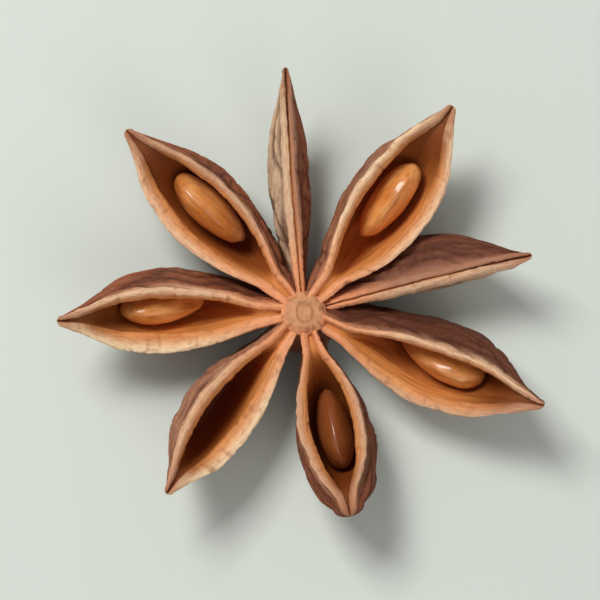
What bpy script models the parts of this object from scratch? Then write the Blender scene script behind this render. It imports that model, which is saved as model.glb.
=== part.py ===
"""A dried star anise pod: eight boat-shaped carpels round a short central column.

The pod lies on its back with the open seams up. The origin is the middle of the stalk scar, which
stands on the table with the lowest parts of the keels. The column's axis is +Z, and carpel angles
are measured from +X towards +Y. Six carpels are split open, and five of these still hold a seed.
"""

from bisect import bisect_right
from collections import namedtuple
from math import cos, pi, radians, sin

import bmesh
import bpy
from mathutils import Matrix, Vector

MM = 0.001

# Driving dimensions.
POD_RADIUS = 15.4 * MM  # from the axis to the tip of a full-grown carpel
CARPEL_DEPTH = 6.3 * MM  # from the lips down to the keel, where the carpel is deepest
RIM_AT_COLUMN = 4.9 * MM  # height of the lips beside the column
RIM_RISE = 2.3 * MM  # how far the lips climb from the column to the tip
WALL = 0.55 * MM  # thickness of the woody wall
LIP_WIDTH = 0.80 * MM  # the wall is thicker at the lips
SHUT_LIP_WIDTH = 0.50 * MM  # the same on a carpel that hasn't split
SEED_LENGTH = 6.5 * MM
SEED_HEIGHT = 3.9 * MM
SEED_THICKNESS = 2.5 * MM

# Each carpel: angle in degrees, length as a share of POD_RADIUS, the widest half-width of its body
# and half of the opening between its lips in mm, roll in degrees (positive leans the lips towards
# the smaller angles), the sideways bow at its tip and at its middle in mm, how blunt its end is from
# 0 to 1, its depth as a share of CARPEL_DEPTH, the size of its seed, 0 where it has none, and the
# seed's seat: the share of the way from the column to the tip, how many degrees the seed rises
# towards the tip, and its height over the floor of the hollow in mm.
Carpel = namedtuple("Carpel", "angle length half_width gape roll bow arc blunt deep seed seat")
NO_SEAT = (0, 0, 0)
CARPELS = (
    Carpel(16.4, 0.93, 1.70, 0.00, 32, 0.3, 0.0, 0.0, 1.01, 0, NO_SEAT),
    Carpel(57, 1.01, 2.70, 1.72, 15, -0.4, -0.75, 0.0, 0.96, 0.92, (0.575, 27, 0.8)),
    Carpel(96, 0.98, 1.40, 0.00, 4, -0.3, 0.0, 0.0, 0.93, 0, NO_SEAT),
    Carpel(131, 1.01, 2.50, 1.48, -18, 0.4, 0.3, 0.0, 0.96, 0.93, (0.57, 27, 0.7)),
    Carpel(181, 0.98, 2.35, 1.15, -30, -0.4, 0.1, 0.0, 1.00, 0.90, (0.565, 27, 0.8)),
    Carpel(230, 0.92, 2.20, 0.97, -20, 0.4, 0.1, 0.1, 0.96, 0, NO_SEAT),
    Carpel(283, 0.84, 2.45, 1.30, 5, 0.0, 0.1, 1.0, 0.93, 0.86, (0.53, 18, 0.4)),
    Carpel(340, 1.03, 2.45, 1.40, 36, 0.4, -1.0, 0.0, 1.00, 0.96, (0.55, 27, 0.5)),
)

# How a carpel's size changes along it, as (share of the way from the column to the tip, share of
# the full size). The curves between the points are smooth.
DEPTH_ALONG = ((0, 0.66), (0.2, 0.86), (0.45, 1.0), (0.68, 0.90), (0.86, 0.47), (0.95, 0.20), (1, 0.10))
WIDTH_ALONG = ((0, 0.24), (0.15, 0.42), (0.35, 0.80), (0.55, 1.0), (0.75, 0.86), (0.92, 0.36), (1, 0.14))
BLUNT_DEPTH = ((0, 0.66), (0.2, 0.86), (0.45, 1.0), (0.68, 0.95), (0.86, 0.72), (0.95, 0.48), (1, 0.30))
BLUNT_WIDTH = ((0, 0.24), (0.15, 0.42), (0.35, 0.80), (0.55, 1.0), (0.75, 0.98), (0.92, 0.72), (1, 0.40))
GAPE_ALONG = ((0, 0), (0.14, 0.08), (0.35, 0.74), (0.54, 1.0), (0.74, 0.78), (0.92, 0.14), (1, 0))
HOLLOW_ALONG = ((0, 0), (0.12, 0.06), (0.24, 0.62), (0.42, 1), (0.66, 0.98), (0.84, 0.5), (0.94, 0.1), (1, 0))

# Shape of a carpel across.
CARPEL_START = 0.9 * MM  # inside the column
WIDEST_AT = 0.58  # height of the widest place, as a share of the depth
SEAM_GAP = 0.05 * MM  # half of the groove where the lips stay shut
SEAM_GROOVE = 0.22 * MM  # depth of that groove
LIP_ROUND = 0.14 * MM  # how far the lip's crest stands over its edges
SHUT_ROOF = 0.35 * MM  # how far the lips of an unsplit carpel fall away from its seam
KEEL_POWER = 1.12  # over 1 makes the keel narrower than a half circle
BEAK_LENGTH = 0.35 * MM  # the rounded end past the last section
BLUNT_BEAK = 0.25 * MM  # how much longer it is on a blunt carpel
KEEL_PRESS = 0.07 * MM  # how much of each keel is worn flat where it rests
STATIONS = 16
OUTER_STEPS = 6
INNER_STEPS = 4

# The column and the scar of the stalk below it, as (radius, height) from the scar to the crown.
COLUMN_STEPS = 24
COLUMN_PROFILE = (
    (1.15, 0.0),
    (1.30, 0.16),
    (1.22, 0.75),
    (1.85, 1.55),
    (2.05, 2.60),
    (1.80, 3.80),
    (1.45, 4.50),
    (1.38, 5.10),
    (1.15, 5.42),
    (0.68, 5.50),
)
CROWN_DIMPLE = 5.34 * MM

# Shape of a seed.
SEED_EGG = 0.24  # how much broader one end is than the other
SEED_RINGS = 8
SEED_SEGMENTS = 12


def smooth_curve(points, t):
    """The value at t of the smooth curve through the (place, value) points."""
    places = [p for p, _ in points]
    i = min(max(bisect_right(places, t) - 1, 0), len(points) - 2)
    (t0, v0), (t1, v1) = points[i], points[i + 1]
    before = points[i - 1] if i > 0 else (t0, v0)
    after = points[i + 2] if i + 2 < len(points) else (t1, v1)
    span = t1 - t0
    slope0 = (v1 - before[1]) / (t1 - before[0]) * span
    slope1 = (after[1] - v0) / (after[0] - t0) * span
    u = (t - t0) / span
    return (
        (2 * u**3 - 3 * u**2 + 1) * v0
        + (u**3 - 2 * u**2 + u) * slope0
        + (-2 * u**3 + 3 * u**2) * v1
        + (u**3 - u**2) * slope1
    )


def ease(a, b, u):
    """From a to b with a level start and end, as u goes from 0 to 1."""
    return a + (b - a) * u * u * (3 - 2 * u)


def rim_height(t):
    """Height of the lips at a share t of the way to the tip, over the keel's level at the column."""
    return RIM_AT_COLUMN + RIM_RISE * (0.5 * t + 0.5 * t**3)


def section_sizes(carpel, t):
    """The sizes of a carpel's cross-section at a share t of the way from the column to the tip."""
    length = carpel.length * POD_RADIUS
    deep, blunt_deep = smooth_curve(DEPTH_ALONG, t), smooth_curve(BLUNT_DEPTH, t)
    wide, blunt_wide = smooth_curve(WIDTH_ALONG, t), smooth_curve(BLUNT_WIDTH, t)
    depth = CARPEL_DEPTH * carpel.deep * (deep + (blunt_deep - deep) * carpel.blunt)
    half = carpel.half_width * MM * (wide + (blunt_wide - wide) * carpel.blunt)
    is_open = carpel.gape > 0
    lip_width = LIP_WIDTH if is_open else SHUT_LIP_WIDTH
    hollow = smooth_curve(HOLLOW_ALONG, t) if is_open else 0.0
    gape = SEAM_GAP + carpel.gape * MM * max(smooth_curve(GAPE_ALONG, t), 0.0)
    lip = min(gape + lip_width, max(half, gape + 0.3 * lip_width))
    rim = rim_height(t)
    keel = rim - depth
    return {
        "x": CARPEL_START + (length - CARPEL_START) * t,
        "rim": rim,
        "keel": keel,
        "widest_z": keel + WIDEST_AT * depth,
        "half": half,
        "gape": gape,
        "lip": lip,
        "roof": 0.0 if is_open else min(SHUT_ROOF, 0.1 * depth),
        "floor": ease(rim - SEAM_GROOVE, keel + 1.5 * WALL, max(min(hollow, 1.0), 0.0)),
        "inner_half": gape + (max(half - WALL, gape) - gape) * max(hollow, 0.0),
        "shut": 1.0 - max(min(hollow, 1.0), 0.0),
    }


def half_section(size):
    """The right half of a cross-section as (y, z) points, from the keel over the lip to the floor."""
    points = []
    for i in range(OUTER_STEPS + 1):
        turn = pi / 2 * i / OUTER_STEPS
        points.append(
            (
                size["half"] * sin(turn) ** KEEL_POWER,
                size["keel"] + (size["widest_z"] - size["keel"]) * (1 - cos(turn)),
            )
        )
    edge = size["rim"] - LIP_ROUND
    top = edge - size["roof"]
    for u in (0.35, 0.7, 1.0):
        points.append((ease(size["half"], size["lip"], u), size["widest_z"] + (top - size["widest_z"]) * u))
    points.append(((size["lip"] + size["gape"]) / 2, size["rim"] - 0.3 * size["roof"]))
    points.append((size["gape"], edge))
    # Where the lips are shut, the inner points gather in the groove of the seam.
    inner_top = size["widest_z"] + 0.35 * (edge - size["widest_z"])
    inner_top = inner_top + (ease(edge, size["floor"], 0.4) - inner_top) * size["shut"]
    points.append((0.5 * (size["gape"] + size["inner_half"]), 0.5 * (edge + inner_top)))
    for i in range(INNER_STEPS):
        turn = pi / 2 * i / INNER_STEPS
        points.append(
            (
                size["inner_half"] * cos(turn) ** (1 / KEEL_POWER),
                inner_top + (size["floor"] - inner_top) * sin(turn),
            )
        )
    points.append((0.0, size["floor"]))
    return points


def loop_points(size):
    """The whole cross-section: the right half, and the left half on the way back to the keel."""
    right = half_section(size)
    left = [(-y, z) for y, z in reversed(right[1:-1])]
    return right + left


def placed(carpel, drop):
    """The matrix that carries a carpel from its own frame, along +X, to its place in the pod."""
    roll_axis = Vector((0, 0, RIM_AT_COLUMN))
    rolled = (
        Matrix.Translation(roll_axis)
        @ Matrix.Rotation(radians(carpel.roll), 4, "X")
        @ Matrix.Translation(-roll_axis)
    )
    return Matrix.Rotation(radians(carpel.angle), 4, "Z") @ Matrix.Translation((0, 0, -drop)) @ rolled


def bowed(carpel, x, y):
    """The sideways place of a point, once the carpel bows at its middle and towards its tip."""
    reach = x / (carpel.length * POD_RADIUS)
    return y + carpel.bow * MM * reach**2 + carpel.arc * MM * sin(pi * reach)


def carpel_drop(carpel):
    """How far a carpel goes down for its keel to reach just under the table."""
    turned = placed(carpel, 0.0)
    lowest = min(
        (turned @ Vector((size["x"], bowed(carpel, size["x"], y), z))).z
        for size in (section_sizes(carpel, i / (STATIONS - 1)) for i in range(STATIONS))
        for y, z in loop_points(size)
    )
    return lowest + KEEL_PRESS


def make_material(name, color, roughness):
    material = bpy.data.materials.new(name)
    material.use_nodes = True
    shader = material.node_tree.nodes["Principled BSDF"]
    shader.inputs["Base Color"].default_value = (*color, 1)
    shader.inputs["Roughness"].default_value = roughness
    shader.inputs["Metallic"].default_value = 0.0
    return material


def add_object(name, mesh, material):
    mesh.materials.append(material)
    mesh.shade_smooth()
    mesh.set_sharp_from_angle(angle=radians(40))
    made = bpy.data.objects.new(name, mesh)
    bpy.context.scene.collection.objects.link(made)
    return made


def carpel_mesh(number, carpel):
    """A closed carpel: cross-sections from inside the column to the tip, ending in a blunt beak."""
    bm = bmesh.new()
    matrix = placed(carpel, carpel_drop(carpel))

    def vertex(x, y, z):
        place = matrix @ Vector((x, bowed(carpel, x, y), z))
        place.z = max(place.z, 0.0)
        return bm.verts.new(place)

    loops = []
    for i in range(STATIONS):
        size = section_sizes(carpel, i / (STATIONS - 1))
        loops.append([vertex(size["x"], y, z) for y, z in loop_points(size)])
    for near, far in zip(loops, loops[1:]):
        for i in range(len(near)):
            j = (i + 1) % len(near)
            bm.faces.new((near[i], near[j], far[j], far[i]))
    bm.faces.new(reversed(loops[0]))
    end = section_sizes(carpel, 1.0)
    beak_x = end["x"] + BEAK_LENGTH + BLUNT_BEAK * carpel.blunt
    beak = vertex(beak_x, 0.0, ease(end["keel"], end["rim"], 0.6))
    last = loops[-1]
    for i in range(len(last)):
        bm.faces.new((last[i], last[(i + 1) % len(last)], beak))
    bmesh.ops.recalc_face_normals(bm, faces=bm.faces)
    mesh = bpy.data.meshes.new(f"carpel_{number}")
    bm.to_mesh(mesh)
    bm.free()
    return mesh


def column_mesh():
    """The central column, turned round +Z, with the flat scar of the stalk under it."""
    bm = bmesh.new()
    rings = []
    for radius, height in COLUMN_PROFILE:
        ring = []
        for i in range(COLUMN_STEPS):
            turn = 2 * pi * i / COLUMN_STEPS
            ring.append(bm.verts.new((radius * MM * cos(turn), radius * MM * sin(turn), height * MM)))
        rings.append(ring)
    for low, high in zip(rings, rings[1:]):
        for i in range(COLUMN_STEPS):
            j = (i + 1) % COLUMN_STEPS
            bm.faces.new((low[i], low[j], high[j], high[i]))
    bm.faces.new(reversed(rings[0]))
    dimple = bm.verts.new((0, 0, CROWN_DIMPLE))
    for i in range(COLUMN_STEPS):
        bm.faces.new((rings[-1][i], rings[-1][(i + 1) % COLUMN_STEPS], dimple))
    bmesh.ops.recalc_face_normals(bm, faces=bm.faces)
    mesh = bpy.data.meshes.new("pod")
    bm.to_mesh(mesh)
    bm.free()
    return mesh


def make_pod(material):
    """The whole pod as one solid: the column joined with every carpel."""
    pod = add_object("pod", column_mesh(), material)
    carpels = bpy.data.collections.new("carpels")
    bpy.context.scene.collection.children.link(carpels)
    for number, carpel in enumerate(CARPELS, 1):
        tool = bpy.data.objects.new(f"carpel_{number}", carpel_mesh(number, carpel))
        carpels.objects.link(tool)
        tool.hide_render = True
        tool.display_type = "WIRE"
    join = pod.modifiers.new("join_carpels", "BOOLEAN")
    join.operation = "UNION"
    join.operand_type = "COLLECTION"
    join.collection = carpels
    join.solver = "EXACT"
    return pod


def make_seed(number, carpel, material):
    """A flattened egg-shaped seed on the floor of its carpel, with the broad end outwards."""
    full = Vector((SEED_LENGTH, SEED_THICKNESS, SEED_HEIGHT)) * carpel.seed
    bm = bmesh.new()
    bmesh.ops.create_uvsphere(bm, u_segments=SEED_SEGMENTS, v_segments=SEED_RINGS, radius=0.5)
    bmesh.ops.transform(bm, matrix=Matrix.Rotation(radians(90), 4, "Y"), verts=bm.verts)
    for v in bm.verts:
        broad = 1 + SEED_EGG * v.co.x
        v.co = Vector((v.co.x * full.x, v.co.y * full.y * broad, v.co.z * full.z * broad))
    bmesh.ops.recalc_face_normals(bm, faces=bm.faces)
    mesh = bpy.data.meshes.new(f"seed_{number}")
    bm.to_mesh(mesh)
    bm.free()
    share, rise, gap = carpel.seat
    size = section_sizes(carpel, share)
    middle = (size["x"], bowed(carpel, size["x"], 0.0), size["floor"] + gap * MM + full.z / 2)
    seed = add_object(f"seed_{number}", mesh, material)
    seed.matrix_world = (
        placed(carpel, carpel_drop(carpel))
        @ Matrix.Translation(middle)
        @ Matrix.Rotation(radians(-rise), 4, "Y")
    )
    return seed


def main():
    for obj in list(bpy.data.objects):
        bpy.data.objects.remove(obj)
    bark = make_material("dried_pod", (0.36, 0.16, 0.085), 0.6)
    seed_coat = make_material("seed_coat", (0.38, 0.13, 0.03), 0.2)
    make_pod(bark)
    for number, carpel in enumerate(CARPELS, 1):
        if carpel.seed > 0:
            make_seed(number, carpel, seed_coat)


if __name__ == "__main__":
    main()
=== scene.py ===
from collections import namedtuple
from itertools import product
from math import cos, pi, radians, sin

import bpy
import numpy as np
from mathutils import Matrix, Vector


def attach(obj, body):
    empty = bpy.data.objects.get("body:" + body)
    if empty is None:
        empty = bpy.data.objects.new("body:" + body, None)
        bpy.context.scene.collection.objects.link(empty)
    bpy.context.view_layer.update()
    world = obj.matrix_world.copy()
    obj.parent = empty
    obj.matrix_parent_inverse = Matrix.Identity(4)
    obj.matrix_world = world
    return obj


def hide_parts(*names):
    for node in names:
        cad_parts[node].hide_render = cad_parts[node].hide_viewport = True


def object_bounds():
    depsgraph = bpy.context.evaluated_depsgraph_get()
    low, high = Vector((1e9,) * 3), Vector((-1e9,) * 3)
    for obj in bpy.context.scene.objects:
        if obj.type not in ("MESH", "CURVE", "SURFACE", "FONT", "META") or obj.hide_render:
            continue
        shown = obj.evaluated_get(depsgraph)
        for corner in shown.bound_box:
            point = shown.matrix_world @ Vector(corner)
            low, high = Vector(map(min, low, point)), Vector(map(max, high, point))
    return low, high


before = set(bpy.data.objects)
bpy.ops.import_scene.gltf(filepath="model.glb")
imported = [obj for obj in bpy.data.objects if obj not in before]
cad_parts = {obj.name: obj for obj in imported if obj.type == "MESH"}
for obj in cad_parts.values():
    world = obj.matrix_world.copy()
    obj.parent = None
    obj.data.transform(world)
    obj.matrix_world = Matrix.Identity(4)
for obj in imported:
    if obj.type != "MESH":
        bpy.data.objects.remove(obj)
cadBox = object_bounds()
mm = 0.001  # shapes below are worked out in millimetres

# the whole pod, with the same driving sizes as its solids
pod = {
    "radius": 15.4,  # from the column's axis to the tip of a full-grown carpel
    "depth": 6.3,  # from the lips down to the keel
    "rimAtColumn": 4.9,  # height of the lips beside the column
    "rimRise": 2.3,  # how far the lips climb towards the tip
    "carpelStart": 0.9,  # where a carpel begins, inside the column
    "keelPress": 0.07,  # how much of a keel is worn flat where it rests
}

# angle and roll in degrees, length and depth as shares of the pod's, blunt from 0 to 1, the seed's size,
# 0 for none, and the rest in mm
# seat is for the seed: its share of the way from the column to the tip, how many degrees it rises towards
# the tip, and its height over the floor of the hollow
# the pairs are for the left and right side seen from the column: the width of the lip, how far the wall
# under it stands in, painted light and shade on the lip from -1, a cream painted highlight, to 1, brown
# painted shade, and painted light and shade on the bark from -1, darker, to 1, paler
Carpel = namedtuple(
    "Carpel", "number angle length halfWidth gape roll bow arc blunt deep seed seat lips walls tints tones"
)
noSeat = (0, 0, 0)
carpels = (
    Carpel(
        1, 16.4, 0.93, 1.70, 0.00, 32, 0.3, 0.0, 0.0, 1.01, 0, noSeat,
        lips=(0.36, 0.70), walls=(0, 0), tints=(0.8, 0.0), tones=(-0.7, 0.8),
    ),
    Carpel(
        2, 57, 1.01, 2.70, 1.72, 15, -0.4, -0.75, 0.0, 0.96, 0.92, (0.575, 27, 0.7),
        lips=(0.78, 0.80), walls=(0, 0.5), tints=(-0.5, -0.25), tones=(0.2, 0.3),
    ),
    Carpel(
        3, 96, 0.98, 1.40, 0.00, 4, -0.3, 0.0, 0.0, 0.93, 0, noSeat,
        lips=(0.50, 0.40), walls=(0, 0), tints=(0, 0.7), tones=(1.0, -0.3),
    ),
    Carpel(
        4, 131, 1.01, 2.50, 1.48, -18, 0.4, 0.3, 0.0, 0.96, 0.93, (0.57, 27, 0.6),
        lips=(0.92, 0.66), walls=(0.3, 0), tints=(0, 0.4), tones=(0.2, 0.1),
    ),
    Carpel(
        5, 181, 0.98, 2.35, 1.15, -30, -0.4, 0.1, 0.0, 1.00, 0.90, (0.565, 27, 0.7),
        lips=(1.25, 0.78), walls=(0.35, 0), tints=(-0.9, -0.2), tones=(0.3, 0.1),
    ),
    Carpel(
        6, 230, 0.92, 2.20, 0.97, -20, 0.4, 0.1, 0.1, 0.96, 0, noSeat,
        lips=(1.10, 0.75), walls=(0.4, 0), tints=(-0.7, 0.1), tones=(0.0, 0.3),
    ),
    Carpel(
        7, 283, 0.84, 2.45, 1.30, 5, 0.0, 0.1, 1.0, 0.93, 0.86, (0.53, 18, 0.3),
        lips=(0.70, 0.70), walls=(0, 0), tints=(0.4, 0.4), tones=(-0.5, -0.3),
    ),
    Carpel(
        8, 340, 1.03, 2.45, 1.40, 36, 0.4, -1.0, 0.0, 1.00, 0.96, (0.55, 27, 0.4),
        lips=(0.70, 0.85), walls=(0, 0.45), tints=(-0.2, 0.25), tones=(-0.8, 0.2),
    ),
)


def smoothCurve(points, t):
    # the smooth curve through (place, value) points, read at every t
    places, values = np.array(points, float).T
    slopes = np.empty_like(values)
    slopes[1:-1] = (values[2:] - values[:-2]) / (places[2:] - places[:-2])
    slopes[0] = (values[1] - values[0]) / (places[1] - places[0])
    slopes[-1] = (values[-1] - values[-2]) / (places[-1] - places[-2])
    i = np.clip(np.searchsorted(places, t, side="right") - 1, 0, len(places) - 2)
    span = places[i + 1] - places[i]
    u = (t - places[i]) / span
    start = (2 * u**3 - 3 * u**2 + 1) * values[i] + (u**3 - 2 * u**2 + u) * slopes[i] * span
    end = (-2 * u**3 + 3 * u**2) * values[i + 1] + (u**3 - u**2) * slopes[i + 1] * span
    return start + end


def ease(a, b, u):
    # from a to b with a level start and end, as u goes from 0 to 1
    return a + (b - a) * u * u * (3 - 2 * u)


def ramp(low, high, value):
    # 0 up to low, 1 from high on, and a soft step between; low may be the larger of the two
    return ease(0.0, 1.0, np.clip((value - low) / (high - low), 0, 1))


def makeNoise(seed):
    # smooth noise in space from about -1 to 1, one feature to the unit
    random = np.random.default_rng(seed)
    order = random.permutation(256)
    slopes = random.normal(size=(256, 3))
    slopes /= np.linalg.norm(slopes, axis=1, keepdims=True)

    def noise(*place):
        p = np.stack(np.broadcast_arrays(*place), axis=-1).astype(float)
        cell = np.floor(p).astype(int)
        inside = p - cell
        fade = inside**3 * (inside * (inside * 6 - 15) + 10)
        total = 0
        for corner in product((0, 1), repeat=3):
            c = (cell + corner) & 255
            pick = order[(order[(order[c[..., 0]] + c[..., 1]) & 255] + c[..., 2]) & 255]
            height = ((inside - corner) * slopes[pick]).sum(-1)
            total = total + height * np.where(corner, fade, 1 - fade).prod(-1)
        return total * 1.6

    return noise


noise = makeNoise(12)


def creases(width, *place):
    # 1 along wandering thin lines, 0 away from them
    return ramp(width, 0.0, np.abs(noise(*place)))


def makePiece(name, points, faces, uvs, looks, material, replaced):
    # points in mm; looks holds a number or a place for every point, which the material reads by name
    mesh = bpy.data.meshes.new(name)
    mesh.from_pydata((points * mm).tolist(), [], faces)
    layer = mesh.uv_layers.new(name="OFBake")
    layer.data.foreach_set("uv", np.array(uvs, np.float32).ravel())
    for key, values in looks.items():
        vector = np.ndim(values) == 2
        data = mesh.attributes.new(key, "FLOAT_VECTOR" if vector else "FLOAT", "POINT").data
        data.foreach_set("vector" if vector else "value", np.array(values, np.float32).ravel())
    mesh.shade_smooth()
    mesh.materials.append(material)
    piece = bpy.data.objects.new(name, mesh)
    bpy.context.scene.collection.objects.link(piece)
    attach(piece, "root")
    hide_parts(replaced)


def wrapGrid(rows, around):
    # faces and uvs of rings of points, each ring closed on itself, with a fan to a point at both ends
    first = rows * around
    faces = []
    uvs = []
    for i in range(rows - 1):
        for j in range(around):
            k = (j + 1) % around
            faces.append((i * around + j, i * around + k, (i + 1) * around + k, (i + 1) * around + j))
            left, right = j / around, (j + 1) / around
            low, high = (i + 1) / (rows + 1), (i + 2) / (rows + 1)
            uvs += [(left, low), (right, low), (right, high), (left, high)]
    for j in range(around):
        k = (j + 1) % around
        left, right = j / around, (j + 1) / around
        faces.append((first, k, j))
        uvs += [((left + right) / 2, 0), (right, 1 / (rows + 1)), (left, 1 / (rows + 1))]
        last = (rows - 1) * around
        faces.append((first + 1, last + j, last + k))
        uvs += [((left + right) / 2, 1), (left, rows / (rows + 1)), (right, rows / (rows + 1))]
    return faces, uvs


def gridNormals(grid):
    # unit normals of a grid of points whose second direction is closed
    along = np.gradient(grid, axis=0)
    across = np.roll(grid, -1, axis=1) - np.roll(grid, 1, axis=1)
    normals = np.cross(along, across)
    return normals / np.maximum(np.linalg.norm(normals, axis=-1, keepdims=True), 1e-9)


carpelShape = {
    # how the section changes from the column to the tip: (share of the way, share of the full size)
    "depthAlong": ((0, 0.66), (0.2, 0.86), (0.45, 1), (0.68, 0.9), (0.86, 0.47), (0.95, 0.2), (1, 0.1)),
    "widthAlong": ((0, 0.24), (0.15, 0.42), (0.35, 0.8), (0.55, 1), (0.75, 0.86), (0.92, 0.36), (1, 0.14)),
    "gapeAlong": ((0, 0), (0.14, 0.08), (0.35, 0.74), (0.54, 1), (0.74, 0.78), (0.92, 0.14), (1, 0)),
    "lipsAlong": ((0, 0.55), (0.12, 0.66), (0.4, 1), (0.8, 0.95), (1, 0.7)),
    "hollowAlong": (
        (0, 0), (0.12, 0.06), (0.24, 0.62), (0.42, 1), (0.66, 0.98), (0.84, 0.5), (0.94, 0.1), (1, 0)
    ),
    # the same for a blunt carpel
    "bluntDepth": ((0, 0.66), (0.2, 0.86), (0.45, 1), (0.68, 0.95), (0.86, 0.72), (0.95, 0.48), (1, 0.3)),
    "bluntWidth": ((0, 0.24), (0.15, 0.42), (0.35, 0.8), (0.55, 1), (0.75, 0.98), (0.92, 0.72), (1, 0.4)),
    "widestAt": 0.58,  # share of the depth
    "keelPower": 1.12,  # over 1 makes the keel narrower than a half circle
    "wall": 0.55,  # mm, as most of these
    "seamGap": 0.05,  # half of the groove where the lips stay shut
    "columnGap": 0.11,  # how much wider that is beside the column on a carpel that has split
    "seamGroove": 0.45,  # depth of that groove
    "crest": 0.17,  # how far the lip's crest stands over its outer edge
    "bevel": 0.42,  # how far the lip slopes down to its inner edge where the carpel is open
    "roof": 0.35,  # how far the lips of an unsplit carpel fall away from its seam
    "roofShare": 0.1,  # the most that may be of the depth
    # how much the opening and the lips wander, as shares, and how far the rim does: broadly, finely
    "gapeWander": (0.08, 0.03),
    "lipWander": (0.16, 0.08),
    "rimWander": (0.12, 0.04),
    "beak": 0.35,  # the rounded end past the last section
    "bluntBeak": 0.25,  # how much longer the beak of a blunt carpel is
    "pale": {2: 0.5, 5: 0.6, 8: 0.2},  # how much less the painted shade darkens the floors of these hollows
    "rows": 168,
    "beakRows": 8,
    "keelBlend": 6,  # points over which the left and right half meet at the keel
    "floorBlend": 4,  # and on the floor
}
# how many points half a section has in each part
sectionSteps = {"keel": 26, "flank": 18, "lip": 18, "wall": 10, "floor": 18}


def rimHeight(t):
    return pod["rimAtColumn"] + pod["rimRise"] * (0.5 * t + 0.5 * t**3)


def carpelSizes(carpel, t, side):
    # the sizes of the sections at every t; side is 1 for the left and -1 for the right, seen from the
    # column, where the lips wander a little, or 0 for even lips
    s = carpelShape
    pick = 0 if side > 0 else 1

    def wander(broadly, finely, amounts):
        place = 7.3 * carpel.number + 3.1 * side
        broad = amounts[0] * noise(broadly[0] * t, place, broadly[1])
        return broad + amounts[1] * noise(finely[0] * t, place, finely[1])

    isOpen = carpel.gape > 0
    deep = ease(smoothCurve(s["depthAlong"], t), smoothCurve(s["bluntDepth"], t), carpel.blunt)
    wide = ease(smoothCurve(s["widthAlong"], t), smoothCurve(s["bluntWidth"], t), carpel.blunt)
    depth = pod["depth"] * carpel.deep * deep
    half = carpel.halfWidth * wide
    hollow = np.clip(smoothCurve(s["hollowAlong"], t), 0, 1) * isOpen
    opening = np.maximum(smoothCurve(s["gapeAlong"], t), 0.0) * carpel.gape
    opening = opening * (1 + abs(side) * wander((4.0, 0.5), (12.0, 4.5), s["gapeWander"]))
    gape = s["seamGap"] + opening + isOpen * s["columnGap"] * ramp(0.0, 0.08, t) * ramp(0.5, 0.2, t)
    lipWidth = carpel.lips[pick] * smoothCurve(s["lipsAlong"], t)
    lipWidth = lipWidth * (1 + abs(side) * wander((5.0, 9.5), (17.0, 2.5), s["lipWander"]))
    lip = np.minimum(gape + lipWidth, np.maximum(half, gape + 0.3 * lipWidth))
    rise = wander((3.5, 6.5), (14.0, 8.5), s["rimWander"])
    rim = rimHeight(t) + abs(side) * ramp(0.1, 0.35, t) * rise
    keel = rimHeight(t) - depth
    innerHalf = np.maximum(half - s["wall"], gape) - gape - carpel.walls[pick]
    return {
        "x": pod["carpelStart"] + (carpel.length * pod["radius"] - pod["carpelStart"]) * t,
        "rim": rim,
        "keel": keel,
        "widestZ": keel + s["widestAt"] * depth,
        "half": half,
        "gape": gape,
        "lip": lip,
        "roof": (not isOpen) * np.minimum(s["roof"], s["roofShare"] * depth),
        "floor": ease(rim - s["seamGroove"], keel + 1.5 * s["wall"], hollow),
        "innerHalf": gape + innerHalf * hollow,
        "hollow": hollow,
    }


def halfSection(size):
    # (y, z) of one half of every section from the keel over the lip to the floor, and how far along
    # that way each point is: 1 and 2 are the outer and inner edge of the lip
    s = carpelShape
    steps = sectionSteps
    size = {key: value[:, None] for key, value in size.items()}
    half, gape, lip, rim, roof = (size[key] for key in ("half", "gape", "lip", "rim", "roof"))
    keel, widestZ, hollow = size["keel"], size["widestZ"], size["hollow"]

    turn = pi / 2 * np.arange(steps["keel"])[None] / steps["keel"]
    keelZ = keel + (widestZ - keel) * (1 - np.cos(turn))
    parts = [(half * np.sin(turn) ** s["keelPower"], keelZ, turn / pi)]

    edge = rim - s["crest"]
    u = np.arange(steps["flank"])[None] / steps["flank"]
    parts.append((ease(half, lip, u), widestZ + (edge - roof - widestZ) * u, 0.5 + 0.5 * u))

    bend = pi * np.arange(steps["lip"])[None] / steps["lip"]
    across = (1 - np.cos(bend)) / 2
    bevel = s["bevel"] * (0.35 + 0.65 * hollow)
    lipZ = edge + s["crest"] * np.sin(bend) - roof * (1 - across) ** 1.3 - bevel * across**1.5
    parts.append((lip + (gape - lip) * across, lipZ, 1 + bend / pi))

    innerEdge = edge - bevel
    openTop = widestZ + 0.35 * (edge - widestZ)
    shutTop = ease(innerEdge, np.minimum(size["floor"], innerEdge), 0.4)
    innerTop = np.minimum(openTop + (shutTop - openTop) * (1 - hollow), innerEdge - 0.02)
    floor = np.minimum(size["floor"], innerTop - 0.02)
    u = np.arange(steps["wall"])[None] / steps["wall"]
    wallY = gape + (size["innerHalf"] - gape) * np.sin(u * pi / 2)
    parts.append((wallY, innerEdge + (innerTop - innerEdge) * u, 2 + u))

    turn = pi / 2 * np.arange(steps["floor"] + 1)[None] / steps["floor"]
    floorY = size["innerHalf"] * np.cos(turn) ** (1 / s["keelPower"])
    parts.append((floorY, innerTop + (floor - innerTop) * np.sin(turn), 3 + 2 * turn / pi))

    y, z, way = (np.concatenate([part[i] + 0 * half for part in parts], axis=1) for i in range(3))
    y[:, -1] = 0
    return y, z, way


def carpelMatrix(carpel, drop):
    # from a carpel that lies along +X to its place in the pod
    rollAxis = Vector((0, 0, pod["rimAtColumn"]))
    rolled = Matrix.Translation(rollAxis) @ Matrix.Rotation(radians(carpel.roll), 4, "X")
    rolled = rolled @ Matrix.Translation(-rollAxis)
    return Matrix.Rotation(radians(carpel.angle), 4, "Z") @ Matrix.Translation((0, 0, -drop)) @ rolled


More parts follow.
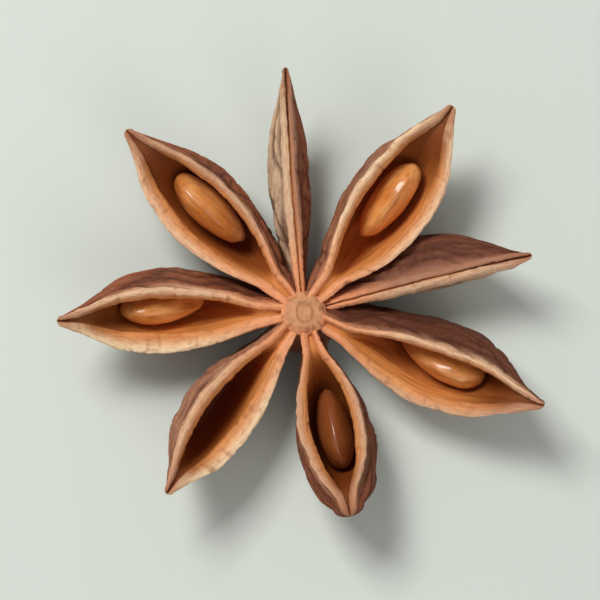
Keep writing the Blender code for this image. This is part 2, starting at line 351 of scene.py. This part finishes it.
def carried(matrix, points):
    matrix = np.array(matrix)
    return points @ matrix[:3, :3].T + matrix[:3, 3]


def bowed(carpel, x, y):
    # the sideways place of a point, once the carpel bows at its middle and towards its tip
    reach = x / (carpel.length * pod["radius"])
    return y + carpel.bow * reach**2 + carpel.arc * np.sin(pi * reach)


def carpelDrop(carpel):
    # how far a carpel goes down for its keel to reach the table
    size = carpelSizes(carpel, np.linspace(0, 1, 16), 0)
    y, z = halfSection(size)[:2]
    x = size["x"][:, None] + 0 * y
    both = [np.stack([x, bowed(carpel, x, side * y), z], axis=-1) for side in (1, -1)]
    return carried(carpelMatrix(carpel, 0.0), np.concatenate(both))[..., 2].min() + pod["keelPress"]


# how high or deep each kind of unevenness is, in mm
bark = {
    "lumps": 0.10,
    "longCreases": 0.17,
    "netCreases": 0.10,
    "fineCreases": 0.05,
    "grit": 0.012,
    "lipBumps": 0.045,
    "lipNicks": 0.06,
    "lipFibres": 0.030,
    "liningRibs": 0.035,
}


def relief(carpel, side, x, way):
    # how far the surface stands out, and how deep in a crease it lies
    b = bark
    key = carpel.number * 5.7 + (3.3 if side > 0 else 0.0)
    across = way * 3.4
    upper = ramp(0.55, 0.98, way)  # the sides grow smoother towards the lips
    wobble = 0.9 * noise(0.35 * x, 0.5 * across, key + 0.5)
    netPatches = ramp(-0.2, 0.4, noise(0.3 * x, 0.5 * across, key))
    long = creases(0.30, 0.20 * x, 1.55 * across + wobble, key)
    net = creases(0.20, 0.62 * x + wobble, 0.85 * across, key + 20) * netPatches
    fine = creases(0.25, 0.9 * x, 4.2 * across + 2 * wobble, key + 40)
    flank = b["lumps"] * noise(0.45 * x, 0.8 * across, key + 60)
    flank = flank + b["grit"] * noise(4.0 * x, 9.0 * across, key + 80)
    flank = flank - b["longCreases"] * long * (1 - 0.45 * upper) - b["netCreases"] * net * (1 - 0.6 * upper)
    flank = flank - b["fineCreases"] * fine

    nicks = ramp(0.35, 0.75, noise(2.6 * x, 1.3 * way, key + 14))
    lip = b["lipBumps"] * (noise(1.7 * x, 0.6 * way, key + 7) + 0.6 * noise(4.6 * x, 1.6 * way, key + 8))
    lip = lip + b["lipFibres"] * noise(0.5 * x + 0.3 * wobble, 11.0 * way, key + 9) - b["lipNicks"] * nicks
    ribs = noise(0.35 * x, 5.0 * way, key + 11) + 0.5 * noise(1.2 * x, 8.0 * way, key + 12)

    onFlank = ramp(1.05, 0.9, way)
    out = flank * onFlank + lip * ramp(0.85, 1.1, way) * ramp(2.3, 1.9, way)
    out = out + b["liningRibs"] * ribs * ramp(2.0, 2.5, way)
    lipLines = 0.5 * creases(0.22, 0.7 * x, 6.0 * way, key + 30) + 0.6 * nicks
    # crease is what the material darkens: painted shade in the flank's creases, and on the lips dark lines
    # with painted shade in the nicks
    crease = np.clip(0.75 * long + 0.55 * net + 0.35 * fine, 0, 1) * onFlank + lipLines * (1 - onFlank)
    return out, crease


def makeCarpel(carpel, material):
    s = carpelShape
    t = np.linspace(0, 1, s["rows"])
    halves = []
    for side in (1, -1):
        size = carpelSizes(carpel, t, side)
        y, z, way = halfSection(size)
        x = size["x"][:, None] + 0 * y
        out, crease = relief(carpel, side, x, way)
        pick = 0 if side > 0 else 1
        halves.append({
            "x": x,
            "y": y * side,
            "z": z,
            "way": way,
            "out": out,
            "crease": crease,
            "tone": carpel.tones[pick] + 0 * y,
            "tint": carpel.tints[pick] + 0 * y,
        })
    left, right = halves
    # the two halves meet softly at the keel and on the floor
    for key in ("z", "out", "crease", "tone", "tint"):
        for j, step, reach in ((0, 1, s["keelBlend"]), (-1, -1, s["floorBlend"])):
            gap = (left[key][:, j] - right[key][:, j]) / 2
            for i in range(reach):
                left[key][:, j + i * step] -= gap * (1 - i / reach)
                right[key][:, j + i * step] += gap * (1 - i / reach)
    ring = {key: np.concatenate([left[key], right[key][:, -2:0:-1]], axis=1) for key in left}
    grid = np.stack([ring["x"], ring["y"], ring["z"]], axis=-1)
    # the relief fades at the column and at the tip
    fade = ramp(0.0, 0.06, t)[:, None] * ramp(1.0, 0.93, t)[:, None] * 0.7 + 0.3
    normals = gridNormals(grid)
    facing = np.sign((normals[:, 0] * (0, 0, -1)).sum())  # the keel's normals point down
    grid = grid + normals * facing * (ring["out"] * fade)[..., None]

    # a rounded beak past the last section
    end = grid[-1]
    length = s["beak"] + s["bluntBeak"] * carpel.blunt
    tip = np.array([end[:, 0].mean() + length, 0.0, end[:, 2].min() * 0.4 + end[:, 2].max() * 0.6])
    beak = []
    for step in range(1, s["beakRows"] + 1):
        turn = pi / 2 * step / (s["beakRows"] + 1)
        shrunk = tip + (end - tip) * cos(turn)
        shrunk[:, 0] = end[:, 0] + (tip[0] - end[:, 0]) * sin(turn)
        beak.append(shrunk)
    grid = np.concatenate([grid, np.array(beak)])
    rows, around = grid.shape[:2]

    points = np.concatenate([grid.reshape(-1, 3), grid[0].mean(0)[None], tip[None]])
    points[:, 1] = bowed(carpel, points[:, 0], points[:, 1])
    points = carried(carpelMatrix(carpel, carpelDrop(carpel)), points)
    points[:, 2] = np.maximum(points[:, 2], 0)

    def stretched(values):
        # the values of the last section go on over the beak
        values = np.concatenate([values, np.repeat(values[-1:], s["beakRows"], axis=0)])
        return np.concatenate([values.ravel(), values[0, :1], values[-1, :1]])

    way = ring["way"]
    hollow = size["hollow"][:, None]
    # painted shade: the walls darken the deeper in the hollow they lie, less so in the carpels listed under
    # pale
    deep = ramp(2.0, 3.9, way) * (0.4 + 0.6 * hollow) * (1 - s["pale"].get(carpel.number, 0))
    looks = {
        "lip": stretched(ramp(0.80, 1.02, way) * ramp(2.35, 1.95, way)),
        "inner": stretched(ramp(1.25, 1.75, way) * (0.15 + 0.85 * ramp(0.0, 0.5, hollow))),
        "lining": stretched(ramp(1.75, 2.25, way)),
        "deep": stretched(deep),
        "crease": stretched(ring["crease"]),
        "along": stretched(t[:, None] + 0 * way),
        "tone": stretched(ring["tone"]),
        "tint": stretched(ring["tint"]),
        "shut": stretched(float(carpel.gape == 0) + 0 * way),
        "grain": np.stack([
            stretched(ring["x"]),
            stretched(way * 3.0),
            stretched(carpel.number * 4.0 + np.sign(ring["y"] + 1e-6) * 1.7),
        ], axis=-1),
    }
    faces, uvs = wrapGrid(rows, around)
    makePiece(f"carpel_{carpel.number}", points, faces, uvs, looks, material, "pod")


column = {
    # (radius, height) from the stalk's scar to the crown
    "profile": (
        (1.15, 0.0), (1.30, 0.16), (1.22, 0.75), (1.85, 1.55),
        (2.05, 2.60), (1.80, 3.80), (1.45, 4.50), (1.4, 5.0),
    ),
    "crownRadius": 1.42,
    "crownHeight": 5.56,
    "shoulder": 0.56,  # how far the crown's edge rounds down
    "ring": ((0.10, -0.06), 0.60, 0.10),  # middle, radius and depth of the ring round the dimple
    "dimple": 0.13,  # depths
    "cracks": 0.07,
    "lumps": 0.09,
    "flutes": 0.16,
    "pits": (0.10, 0.09),  # depth of the scar and how much it varies
    "bark": -0.3,  # painted light and shade on its sides from -1, darker, to 1, paler: shade here, as they lie under and between the carpels
    "around": 192,
    "sideRows": 70,
    "crownRows": 60,
    "scarRows": 20,
}


def makeColumn(material):
    c = column
    turn = np.linspace(0, 2 * pi, c["around"], endpoint=False)[None]
    cosine, sine = np.cos(turn), np.sin(turn)
    # the scar, from its middle out
    radii, heights = np.array(c["profile"]).T
    scarR = np.linspace(0.04, 0.96, c["scarRows"])[:, None] * radii[0] + 0 * turn
    pits = c["pits"][0] + c["pits"][1] * noise(2.4 * scarR * cosine, 2.4 * scarR * sine, 31.5)
    scarZ = ramp(1.10, 0.85, scarR) * np.maximum(pits, 0)
    # the sides, with flutes between the carpels
    path = np.linspace(0, 1, c["sideRows"])
    spread = np.linspace(0, 1, len(radii))
    sideR = smoothCurve(list(zip(spread, radii)), path)[:, None]
    sideZ = smoothCurve(list(zip(spread, heights)), path)[:, None] + 0 * turn
    flutes = noise(2.6 * cosine, 2.6 * sine, 0.25 * sideZ + 11.5)
    flutes = flutes + 0.5 * noise(6.5 * cosine, 6.5 * sine, 0.6 * sideZ + 17.5)
    sideR = sideR + c["flutes"] * flutes * ramp(0, 0.15, path)[:, None] * ramp(1.0, 0.8, path)[:, None]
    # the crown: a lumpy knob with a rounded edge, short cracks from it, a ring and a dimple
    share = np.linspace(0.985, 0.03, c["crownRows"])[:, None]
    crownR = share * c["crownRadius"] * (1 + share * (0.09 * noise(1.3 * cosine, 1.3 * sine, 21.5)))
    crownR = crownR + 0.03 * share * noise(4.0 * cosine, 4.0 * sine, 26.5)
    x, y = crownR * cosine, crownR * sine
    (ringX, ringY), ringRadius, ringDepth = c["ring"]
    fromRing = np.hypot((x - ringX) * 1.15, y - ringY) + 0.10 * noise(1.6 * x, 1.6 * y, 3.5)
    ringLine = np.exp(-(((fromRing - ringRadius) / 0.11) ** 2))
    ringLine = ringLine * (0.55 + 0.45 * noise(1.0 * x, 1.0 * y, 13.5))
    crack = creases(0.20, 1.6 * cosine, 1.6 * sine, 0.4 * crownR + 5.5) * ramp(0.6, 0.95, share)
    crownZ = c["crownHeight"] - c["shoulder"] * share**5 - ringDepth * ringLine - c["cracks"] * crack
    crownZ = crownZ - c["dimple"] * np.exp(-((fromRing / 0.25) ** 2))
    crownZ = crownZ + c["lumps"] * (noise(1.5 * x, 1.5 * y, 8.5) + 0.35 * noise(5.0 * x, 5.0 * y, 18.5))

    radius = np.concatenate([scarR, sideR, crownR])
    height = np.concatenate([scarZ, sideZ, crownZ])
    # crease marks what the material darkens: painted shade in the flutes and the crown's cracks, a darker
    # line along the ring, and the scar
    crownCrease = np.clip(0.9 * ringLine + crack, 0, 1)
    crease = np.concatenate([0.3 + 0 * scarZ, np.clip(-1.3 * flutes, 0, 1), crownCrease])
    grid = np.stack([radius * cosine, radius * sine, height], axis=-1)
    rows, around = grid.shape[:2]
    low = np.array([[0, 0, grid[0, :, 2].mean()]])
    high = np.array([[0, 0, grid[-1, :, 2].mean()]])
    points = np.concatenate([grid.reshape(-1, 3), low, high])

    def withEnds(values):
        return np.concatenate([values.ravel(), values[0, :1], values[-1, :1]])

    onCrown = ramp(4.6, 5.1, height)
    looks = {
        "lip": withEnds(onCrown),
        "crown": withEnds(onCrown * ramp(1.42, 1.05, radius)),
        "crease": withEnds(crease),
        "tone": withEnds(c["bark"] + 0 * height),
        "grain": points + (60.0, 0.0, 0.0),  # away from the carpels' grain
    }
    faces, uvs = wrapGrid(rows, around)
    makePiece("column", points, faces, uvs, looks, material, "pod")


seed = {
    "length": 6.5,
    "height": 3.95,
    "thickness": 2.45,
    "egg": 0.24,  # how much broader the outer end is
    # shares of its size
    "dents": (0.05, 0.012),  # broad and fine
    "lens": 0.20,  # how much thinner it is towards its upper and lower edge
    "edge": 0.035,  # height of the blunt line along its upper edge
    "hilum": 0.09,  # depth of the scar at its inner end
    "chestnutAndShade": {4: 0.15, 7: 0.9, 8: 0.2},  # how far towards chestnut the seeds of these carpels are: their own darker colour, and for carpel 7 also painted shade, as its seed lies in shade
    "rows": 90,
    "around": 96,
}


def makeSeed(carpel, material):
    s = seed
    rows, around = s["rows"], s["around"]
    polar = np.linspace(0.02, pi - 0.02, rows)[:, None]
    turn = np.linspace(0, 2 * pi, around, endpoint=False)[None]
    x = -np.cos(polar) + 0 * turn
    y = np.sin(polar) * np.cos(turn)
    z = np.sin(polar) * np.sin(turn)
    broad = 1 + s["egg"] * x / 2
    key = carpel.number * 3.7
    rim = np.exp(-((y / 0.13) ** 2)) * np.sin(polar) ** 2
    y = y * (1 - s["lens"] * z**2)
    broadDents, fineDents = s["dents"]
    dents = broadDents * noise(1.3 * x + key, 1.3 * y, 1.3 * z)
    out = 1 + (dents + fineDents * noise(3.5 * x, 3.5 * y, 3.5 * z + key))
    out = out + s["edge"] * rim * np.sign(z) * (z > 0)
    hilum = np.exp(-(((x + 0.93) / 0.10) ** 2 + ((z - 0.18) / 0.22) ** 2))
    out = out - s["hilum"] * hilum
    sides, upright = y * s["thickness"] / 2 * broad, z * s["height"] / 2 * broad
    grid = np.stack([x * s["length"] / 2, sides, upright], axis=-1)
    grid = grid * out[..., None] * carpel.seed
    points = np.concatenate([grid.reshape(-1, 3), grid[0].mean(0)[None], grid[-1].mean(0)[None]])

    share, rise, gap = carpel.seat
    size = {name: float(value[0]) for name, value in carpelSizes(carpel, np.array([share]), 0).items()}
    middle = (size["x"], bowed(carpel, size["x"], 0.0), size["floor"] + gap + s["height"] / 2 * carpel.seed)
    matrix = carpelMatrix(carpel, carpelDrop(carpel)) @ Matrix.Translation(middle)
    points = carried(matrix @ Matrix.Rotation(radians(-rise), 4, "Y"), points)

    def withEnds(values):
        values = values + 0 * x
        return np.concatenate([values.ravel(), values[0, :1], values[-1, :1]])

    looks = {
        "hilum": withEnds(hilum),
        "rim": withEnds(rim),
        "tone": withEnds(s["chestnutAndShade"].get(carpel.number, 0.0)),
        "grain": np.stack([withEnds(x * 3), withEnds(y * 1.5 + key), withEnds(z * 2)], axis=-1),
    }
    faces, uvs = wrapGrid(rows, around)
    name = f"seed_{carpel.number}"
    makePiece(name + "_coat", points, faces, uvs, looks, material, name)


class Wire:
    # a node's output: + - * on it add Math nodes
    def __init__(self, graph, socket):
        self.graph = graph
        self.socket = socket

    def maths(self, operation, first, second):
        return self.graph.node("Math", {"operation": operation}, {0: first, 1: second})

    def __add__(self, other):
        return self.maths("ADD", self, other)

    __radd__ = __add__

    def __mul__(self, other):
        return self.maths("MULTIPLY", self, other)

    __rmul__ = __mul__

    def __sub__(self, other):
        return self.maths("SUBTRACT", self, other)

    def __rsub__(self, other):
        return self.maths("SUBTRACT", other, self)


class Graph:
    # a material and its nodes
    def __init__(self, name):
        self.material = bpy.data.materials.new(name)
        self.material.use_nodes = True
        self.tree = self.material.node_tree
        self.tree.nodes.clear()

    def node(self, kind, settings=None, sockets=None, output=0):
        # settings are set first; a socket takes a value, or a Wire as a link
        made = self.tree.nodes.new("ShaderNode" + kind)
        for key, value in (settings or {}).items():
            if key == "stops":
                for i, (place, level) in enumerate(value):
                    stop = made.color_ramp.elements[i] if i < 2 else made.color_ramp.elements.new(place)
                    stop.position = place
                    stop.color = (level, level, level, 1)
            else:
                setattr(made, key, value)
        for key, value in (sockets or {}).items():
            if isinstance(value, Wire):
                self.tree.links.new(value.socket, made.inputs[key])
            else:
                made.inputs[key].default_value = value
        return Wire(self, made.outputs[output]) if made.outputs else None

    def look(self, name):
        # one of the numbers that makePiece stored on the points
        return self.node("Attribute", {"attribute_name": name}, output="Fac")

    def grain(self, *stretch):
        # a place in the grain of the piece, finer along a direction with a larger stretch
        place = self.node("Attribute", {"attribute_name": "grain"}, output="Vector")
        return self.node("VectorMath", {"operation": "MULTIPLY"}, {0: place, 1: stretch})

    def noise(self, place, detail, rough=0.55):
        sockets = {"Vector": place, "Scale": 1.0, "Detail": detail, "Roughness": rough, "Distortion": 0.0}
        return self.node("TexNoise", None, sockets)

    def step(self, value, *stops):
        # stops are (value, level)
        return self.node("ValToRGB", {"stops": stops}, {"Fac": value})

    def mixed(self, share, first, second):
        return self.node("Mix", {"data_type": "RGBA"}, {0: share, 6: first, 7: second}, output=2)

    def finish(self, shader):
        self.node("OutputMaterial", None, {"Surface": shader})
        return self.material


def paint(red, green, blue):
    # a colour from its 0 to 255 screen values
    screen = np.array((red, green, blue)) / 255
    linear = np.where(screen <= 0.04045, screen / 12.92, ((screen + 0.055) / 1.055) ** 2.4)
    return (*(float(value) for value in linear), 1.0)


podPaint = {
    "flankRed": paint(164, 90, 56),
    "flankMauve": paint(150, 88, 60),
    "flankDustAndHighlight": paint(192, 132, 96),
    "flankLitOlive": paint(224, 190, 154),
    "flankShade": paint(88, 44, 26),
    "streakAndCreaseShade": paint(80, 40, 25),
    "lipPeach": paint(238, 180, 134),
    "lipTan": paint(246, 208, 168),
    "lipPink": paint(208, 150, 122),
    "lipBrown": paint(170, 106, 72),
    "lipSalmon": paint(244, 158, 108),
    "lipShadeBrown": paint(160, 112, 86),
    "lipHighlightCream": paint(255, 224, 180),
    "innerAmber": paint(230, 154, 88),
    "innerBrown": paint(192, 116, 62),
    "wallAmber": paint(240, 158, 84),
    "wallShadeBrown": paint(190, 106, 48),
    "wallShadeAndStreak": paint(120, 58, 22),
    "crownTan": paint(212, 150, 106),
    "crownOlive": paint(150, 104, 66),
}
podFinish = {
    "rough": 0.62,
    "gritRough": 0.14,
    # how much smoother these are
    "lipSheen": 0.06,
    "bevelSheen": 0.10,
    "wallSheen": 0.24,
    "bump": 0.8,
    "bumpDepth": 0.11,  # mm
    "specular": 0.3,
    "glow": 0.08,  # share of the light that goes under the surface
    "glowDepth": 1.0,  # mm
    "glowColour": (1.0, 0.4, 0.2),
}


def makePodMaterial():
    g = Graph("dried_pod_bark")
    p = podPaint
    f = podFinish
    lip, inner, lining, deep = g.look("lip"), g.look("inner"), g.look("lining"), g.look("deep")
    crease, along, shut, crown = g.look("crease"), g.look("along"), g.look("shut"), g.look("crown")
    tone, tint = g.look("tone"), g.look("tint")

    patches = g.step(g.noise(g.grain(0.35, 0.5, 1.0), 4.0), (0.38, 0.0), (0.62, 1.0))
    streaks = g.noise(g.grain(0.45, 3.2, 1.0), 4.0, 0.6)
    specks = g.step(g.noise(g.grain(2.2, 3.4, 1.0), 3.0), (0.58, 0.0), (0.72, 1.0))
    dustAndHighlight = g.step(g.noise(g.grain(0.8, 1.3, 1.0), 5.0, 0.65), (0.46, 0.0), (0.70, 1.0))
    mottle = g.noise(g.grain(1.6, 2.2, 1.0), 5.0, 0.6)

    flank = g.mixed(patches, p["flankRed"], p["flankMauve"])
    # paler patches away from the creases: partly dust, partly a painted highlight on the ridges
    flank = g.mixed(dustAndHighlight * (1 - crease) * 0.5, flank, p["flankDustAndHighlight"])
    # painted light and shade on each side of the bark: a lit side paler towards olive, a shaded side darker
    flank = g.mixed(g.step(tone, (0.1, 0.0), (1.0, 0.9)), flank, p["flankLitOlive"])
    flank = g.mixed(g.step(0 - tone, (0.0, 0.0), (0.8, 0.8)), flank, p["flankShade"])
    flank = g.mixed(g.step(streaks, (0.50, 0.0), (0.72, 0.5)), flank, p["streakAndCreaseShade"])
    # painted shade in the creases of the bark
    flank = g.mixed(crease * 0.85, flank, p["streakAndCreaseShade"])

    crest = g.mixed(g.step(streaks, (0.35, 0.0), (0.65, 1.0)), p["lipPeach"], p["lipTan"])
    crest = g.mixed(g.step(mottle, (0.45, 0.0), (0.68, 0.7)), crest, p["lipPink"])
    crest = g.mixed(shut * 0.8, crest, p["lipPink"])
    # painted light on the lips of an unsplit carpel's lit side
    crest = g.mixed(shut * g.step(tone, (0.1, 0.0), (1.0, 0.9)), crest, p["flankLitOlive"])
    # painted light and shade on each lip: brown painted shade, cream painted highlight
    crest = g.mixed(tint, crest, p["lipShadeBrown"])
    crest = g.mixed(0 - tint, crest, p["lipHighlightCream"])
    crest = g.mixed(g.step(along, (0.14, 0.85), (0.38, 0.0)), crest, p["lipSalmon"])
    crest = g.mixed(specks * 0.5, crest, p["lipBrown"])
    crest = g.mixed(g.step(along, (0.86, 0.0), (1.0, 0.7)), crest, p["lipBrown"])
    bevel = g.mixed(g.step(streaks, (0.38, 0.0), (0.66, 0.9)), p["innerAmber"], p["innerBrown"])
    # painted shade on the bevel where the opening narrows to the tip
    bevel = g.mixed(g.step(along, (0.72, 0.0), (0.90, 0.8)), bevel, p["wallShadeAndStreak"])
    rim = g.mixed(inner, crest, bevel)
    knob = g.mixed(g.step(mottle, (0.42, 0.0), (0.70, 0.6)), p["crownTan"], p["crownOlive"])
    # darker along the crown's ring, with painted shade in its cracks
    knob = g.mixed(crease * 0.7, knob, p["crownOlive"])
    rim = g.mixed(crown, rim, knob)
    # darker lines on the lips, with painted shade in the nicks and in the crown's cracks
    rim = g.mixed(crease * 0.7, rim, p["lipBrown"])

    # painted shade: the walls turn brown, then dark, deeper in the hollow and towards its narrow end by the
    # tip; the dark streaks are the walls' own colour
    walls = g.mixed(g.step(deep, (0.25, 0.0), (0.70, 1.0)), p["wallAmber"], p["wallShadeBrown"])
    walls = g.mixed(g.step(deep, (0.55, 0.0), (1.0, 1.0)), walls, p["wallShadeAndStreak"])
    walls = g.mixed(g.step(streaks, (0.42, 0.0), (0.70, 0.5)), walls, p["wallShadeAndStreak"])
    walls = g.mixed(g.step(along, (0.62, 0.0), (0.82, 0.9)), walls, p["wallShadeAndStreak"])

    colour = g.mixed(lip, flank, rim)
    colour = g.mixed(lining, colour, walls)

    fibre = g.noise(g.grain(1.0, 10.0, 1.0), 5.0, 0.6)
    grit = g.noise(g.grain(4.5, 7.0, 1.0), 6.0, 0.7)
    rough = f["rough"] + f["gritRough"] * grit - f["lipSheen"] * lip - f["bevelSheen"] * inner
    rough = rough - f["wallSheen"] * lining
    height = (grit * 0.6 + fibre * 0.5) * (1 - 0.35 * lip) * (1 - 0.6 * lining)
    bump = g.node("Bump", None, {"Strength": f["bump"], "Distance": f["bumpDepth"] * mm, "Height": height})
    shader = g.node("BsdfPrincipled", None, {
        "Base Color": colour,
        "Roughness": rough,
        "Normal": bump,
        "Specular IOR Level": f["specular"],
        "Subsurface Weight": f["glow"],
        "Subsurface Scale": f["glowDepth"] * mm,
        "Subsurface Radius": f["glowColour"],
    })
    return g.finish(shader)


seedPaint = {
    "amber": paint(222, 136, 62),
    "honey": paint(238, 170, 100),
    "chestnut": paint(122, 60, 26),
    "hilum": paint(206, 164, 118),
}
seedFinish = {
    "rough": 0.24,
    "cloudRough": 0.16,
    "hilumRough": 0.3,
    "bump": 0.25,
    "bumpDepth": 0.05,  # mm
    "coat": 0.35,
    "coatRough": 0.15,
    "glow": 0.15,  # share of the light that goes under the surface
    "glowDepth": 1.5,  # mm
    "glowColour": (1.0, 0.35, 0.1),
}


def makeSeedMaterial():
    g = Graph("seed_gloss")
    p = seedPaint
    f = seedFinish
    tone, hilum, rim = g.look("tone"), g.look("hilum"), g.look("rim")
    clouds = g.noise(g.grain(0.5, 0.5, 0.5), 3.0, 0.5)
    streaks = g.noise(g.grain(0.5, 3.0, 3.0), 4.0, 0.55)
    colour = g.mixed(g.step(clouds, (0.35, 0.0), (0.68, 1.0)), p["amber"], p["honey"])
    colour = g.mixed(g.step(streaks, (0.45, 0.0), (0.75, 0.5)), colour, p["chestnut"])
    # darker towards chestnut: the seeds' own colour, and for carpel 7 painted shade
    colour = g.mixed(tone, colour, p["chestnut"])
    colour = g.mixed(rim * 0.3, colour, p["chestnut"])
    colour = g.mixed(hilum, colour, p["hilum"])
    rough = f["rough"] + f["cloudRough"] * clouds + f["hilumRough"] * hilum
    bump = g.node("Bump", None, {"Strength": f["bump"], "Distance": f["bumpDepth"] * mm, "Height": streaks})
    shader = g.node("BsdfPrincipled", None, {
        "Base Color": colour,
        "Roughness": rough,
        "Normal": bump,
        "Coat Weight": f["coat"],
        "Coat Roughness": f["coatRough"],
        "Subsurface Weight": f["glow"],
        "Subsurface Scale": f["glowDepth"] * mm,
        "Subsurface Radius": f["glowColour"],
    })
    return g.finish(shader)


podMaterial = makePodMaterial()
seedMaterial = makeSeedMaterial()
for carpel in carpels:
    makeCarpel(carpel, podMaterial)
print(f"{len(carpels)} carpels made")
makeColumn(podMaterial)
print("column made")
for carpel in carpels:
    if carpel.seed:
        makeSeed(carpel, seedMaterial)
print("seeds made")


stage = {
    "floorColour": (0.64, 0.68, 0.62, 1.0),
    "floorRough": 0.6,
    "floorSpecular": 0.2,
    "floorWidth": 2.0,  # metres
    "worldLight": 0.32,
    "elevation": 78,  # degrees above the table
    "lens": 250,  # mm, long, so that the pod shows little perspective
    "fill": 0.80,  # share of the picture's width that the pod fills
    # place in pod widths from the pod's middle, width, watts
    "lamps": {
        "window": ((-3.2, 3.0, 8.5), 3.5, 0.60),
        "front": ((3.0, -6.0, 6.0), 5.0, 0.14),
    },
}


def makeFloor():
    half = stage["floorWidth"] / 2
    mesh = bpy.data.meshes.new("floor")
    corners = [(-half, -half, 0), (half, -half, 0), (half, half, 0), (-half, half, 0)]
    mesh.from_pydata(corners, [], [(0, 1, 2, 3)])
    g = Graph("pale_table")
    mesh.materials.append(g.finish(g.node("BsdfPrincipled", None, {
        "Base Color": stage["floorColour"],
        "Roughness": stage["floorRough"],
        "Specular IOR Level": stage["floorSpecular"],
    })))
    floor = bpy.data.objects.new("floor", mesh)
    bpy.context.scene.collection.objects.link(floor)


def lookAt(thing, place, target):
    # puts a lamp or the camera at a place, facing the target
    thing.location = place
    thing.rotation_euler = (target - place).to_track_quat("-Z", "Y").to_euler()
    bpy.context.scene.collection.objects.link(thing)


def makeLight():
    width = cadBox[1].x - cadBox[0].x
    for name, (place, size, watts) in stage["lamps"].items():
        lamp = bpy.data.lights.new(name, "AREA")
        lamp.size = size * width
        lamp.energy = watts
        lookAt(bpy.data.objects.new(name, lamp), Vector(place) * width, Vector((0, 0, 0)))
    world = bpy.data.worlds.new("soft_room")
    world.use_nodes = True
    world.node_tree.nodes["Background"].inputs["Color"].default_value = (1, 1, 1, 1)
    world.node_tree.nodes["Background"].inputs["Strength"].default_value = stage["worldLight"]
    bpy.context.scene.world = world


def makeCamera():
    low, high = cadBox
    target = (low + high) / 2
    camera = bpy.data.cameras.new("camera")
    camera.lens = stage["lens"]
    away = (high.x - low.x) / stage["fill"] * camera.lens / camera.sensor_width
    rise = radians(stage["elevation"])
    camera.clip_start = away / 10
    camera.clip_end = away * 100
    made = bpy.data.objects.new("camera", camera)
    lookAt(made, target + Vector((0, -cos(rise), sin(rise))) * away, target)
    bpy.context.scene.camera = made


makeFloor()
makeLight()
makeCamera()
bpy.context.scene.view_settings.view_transform = "Standard"
print("stage made")
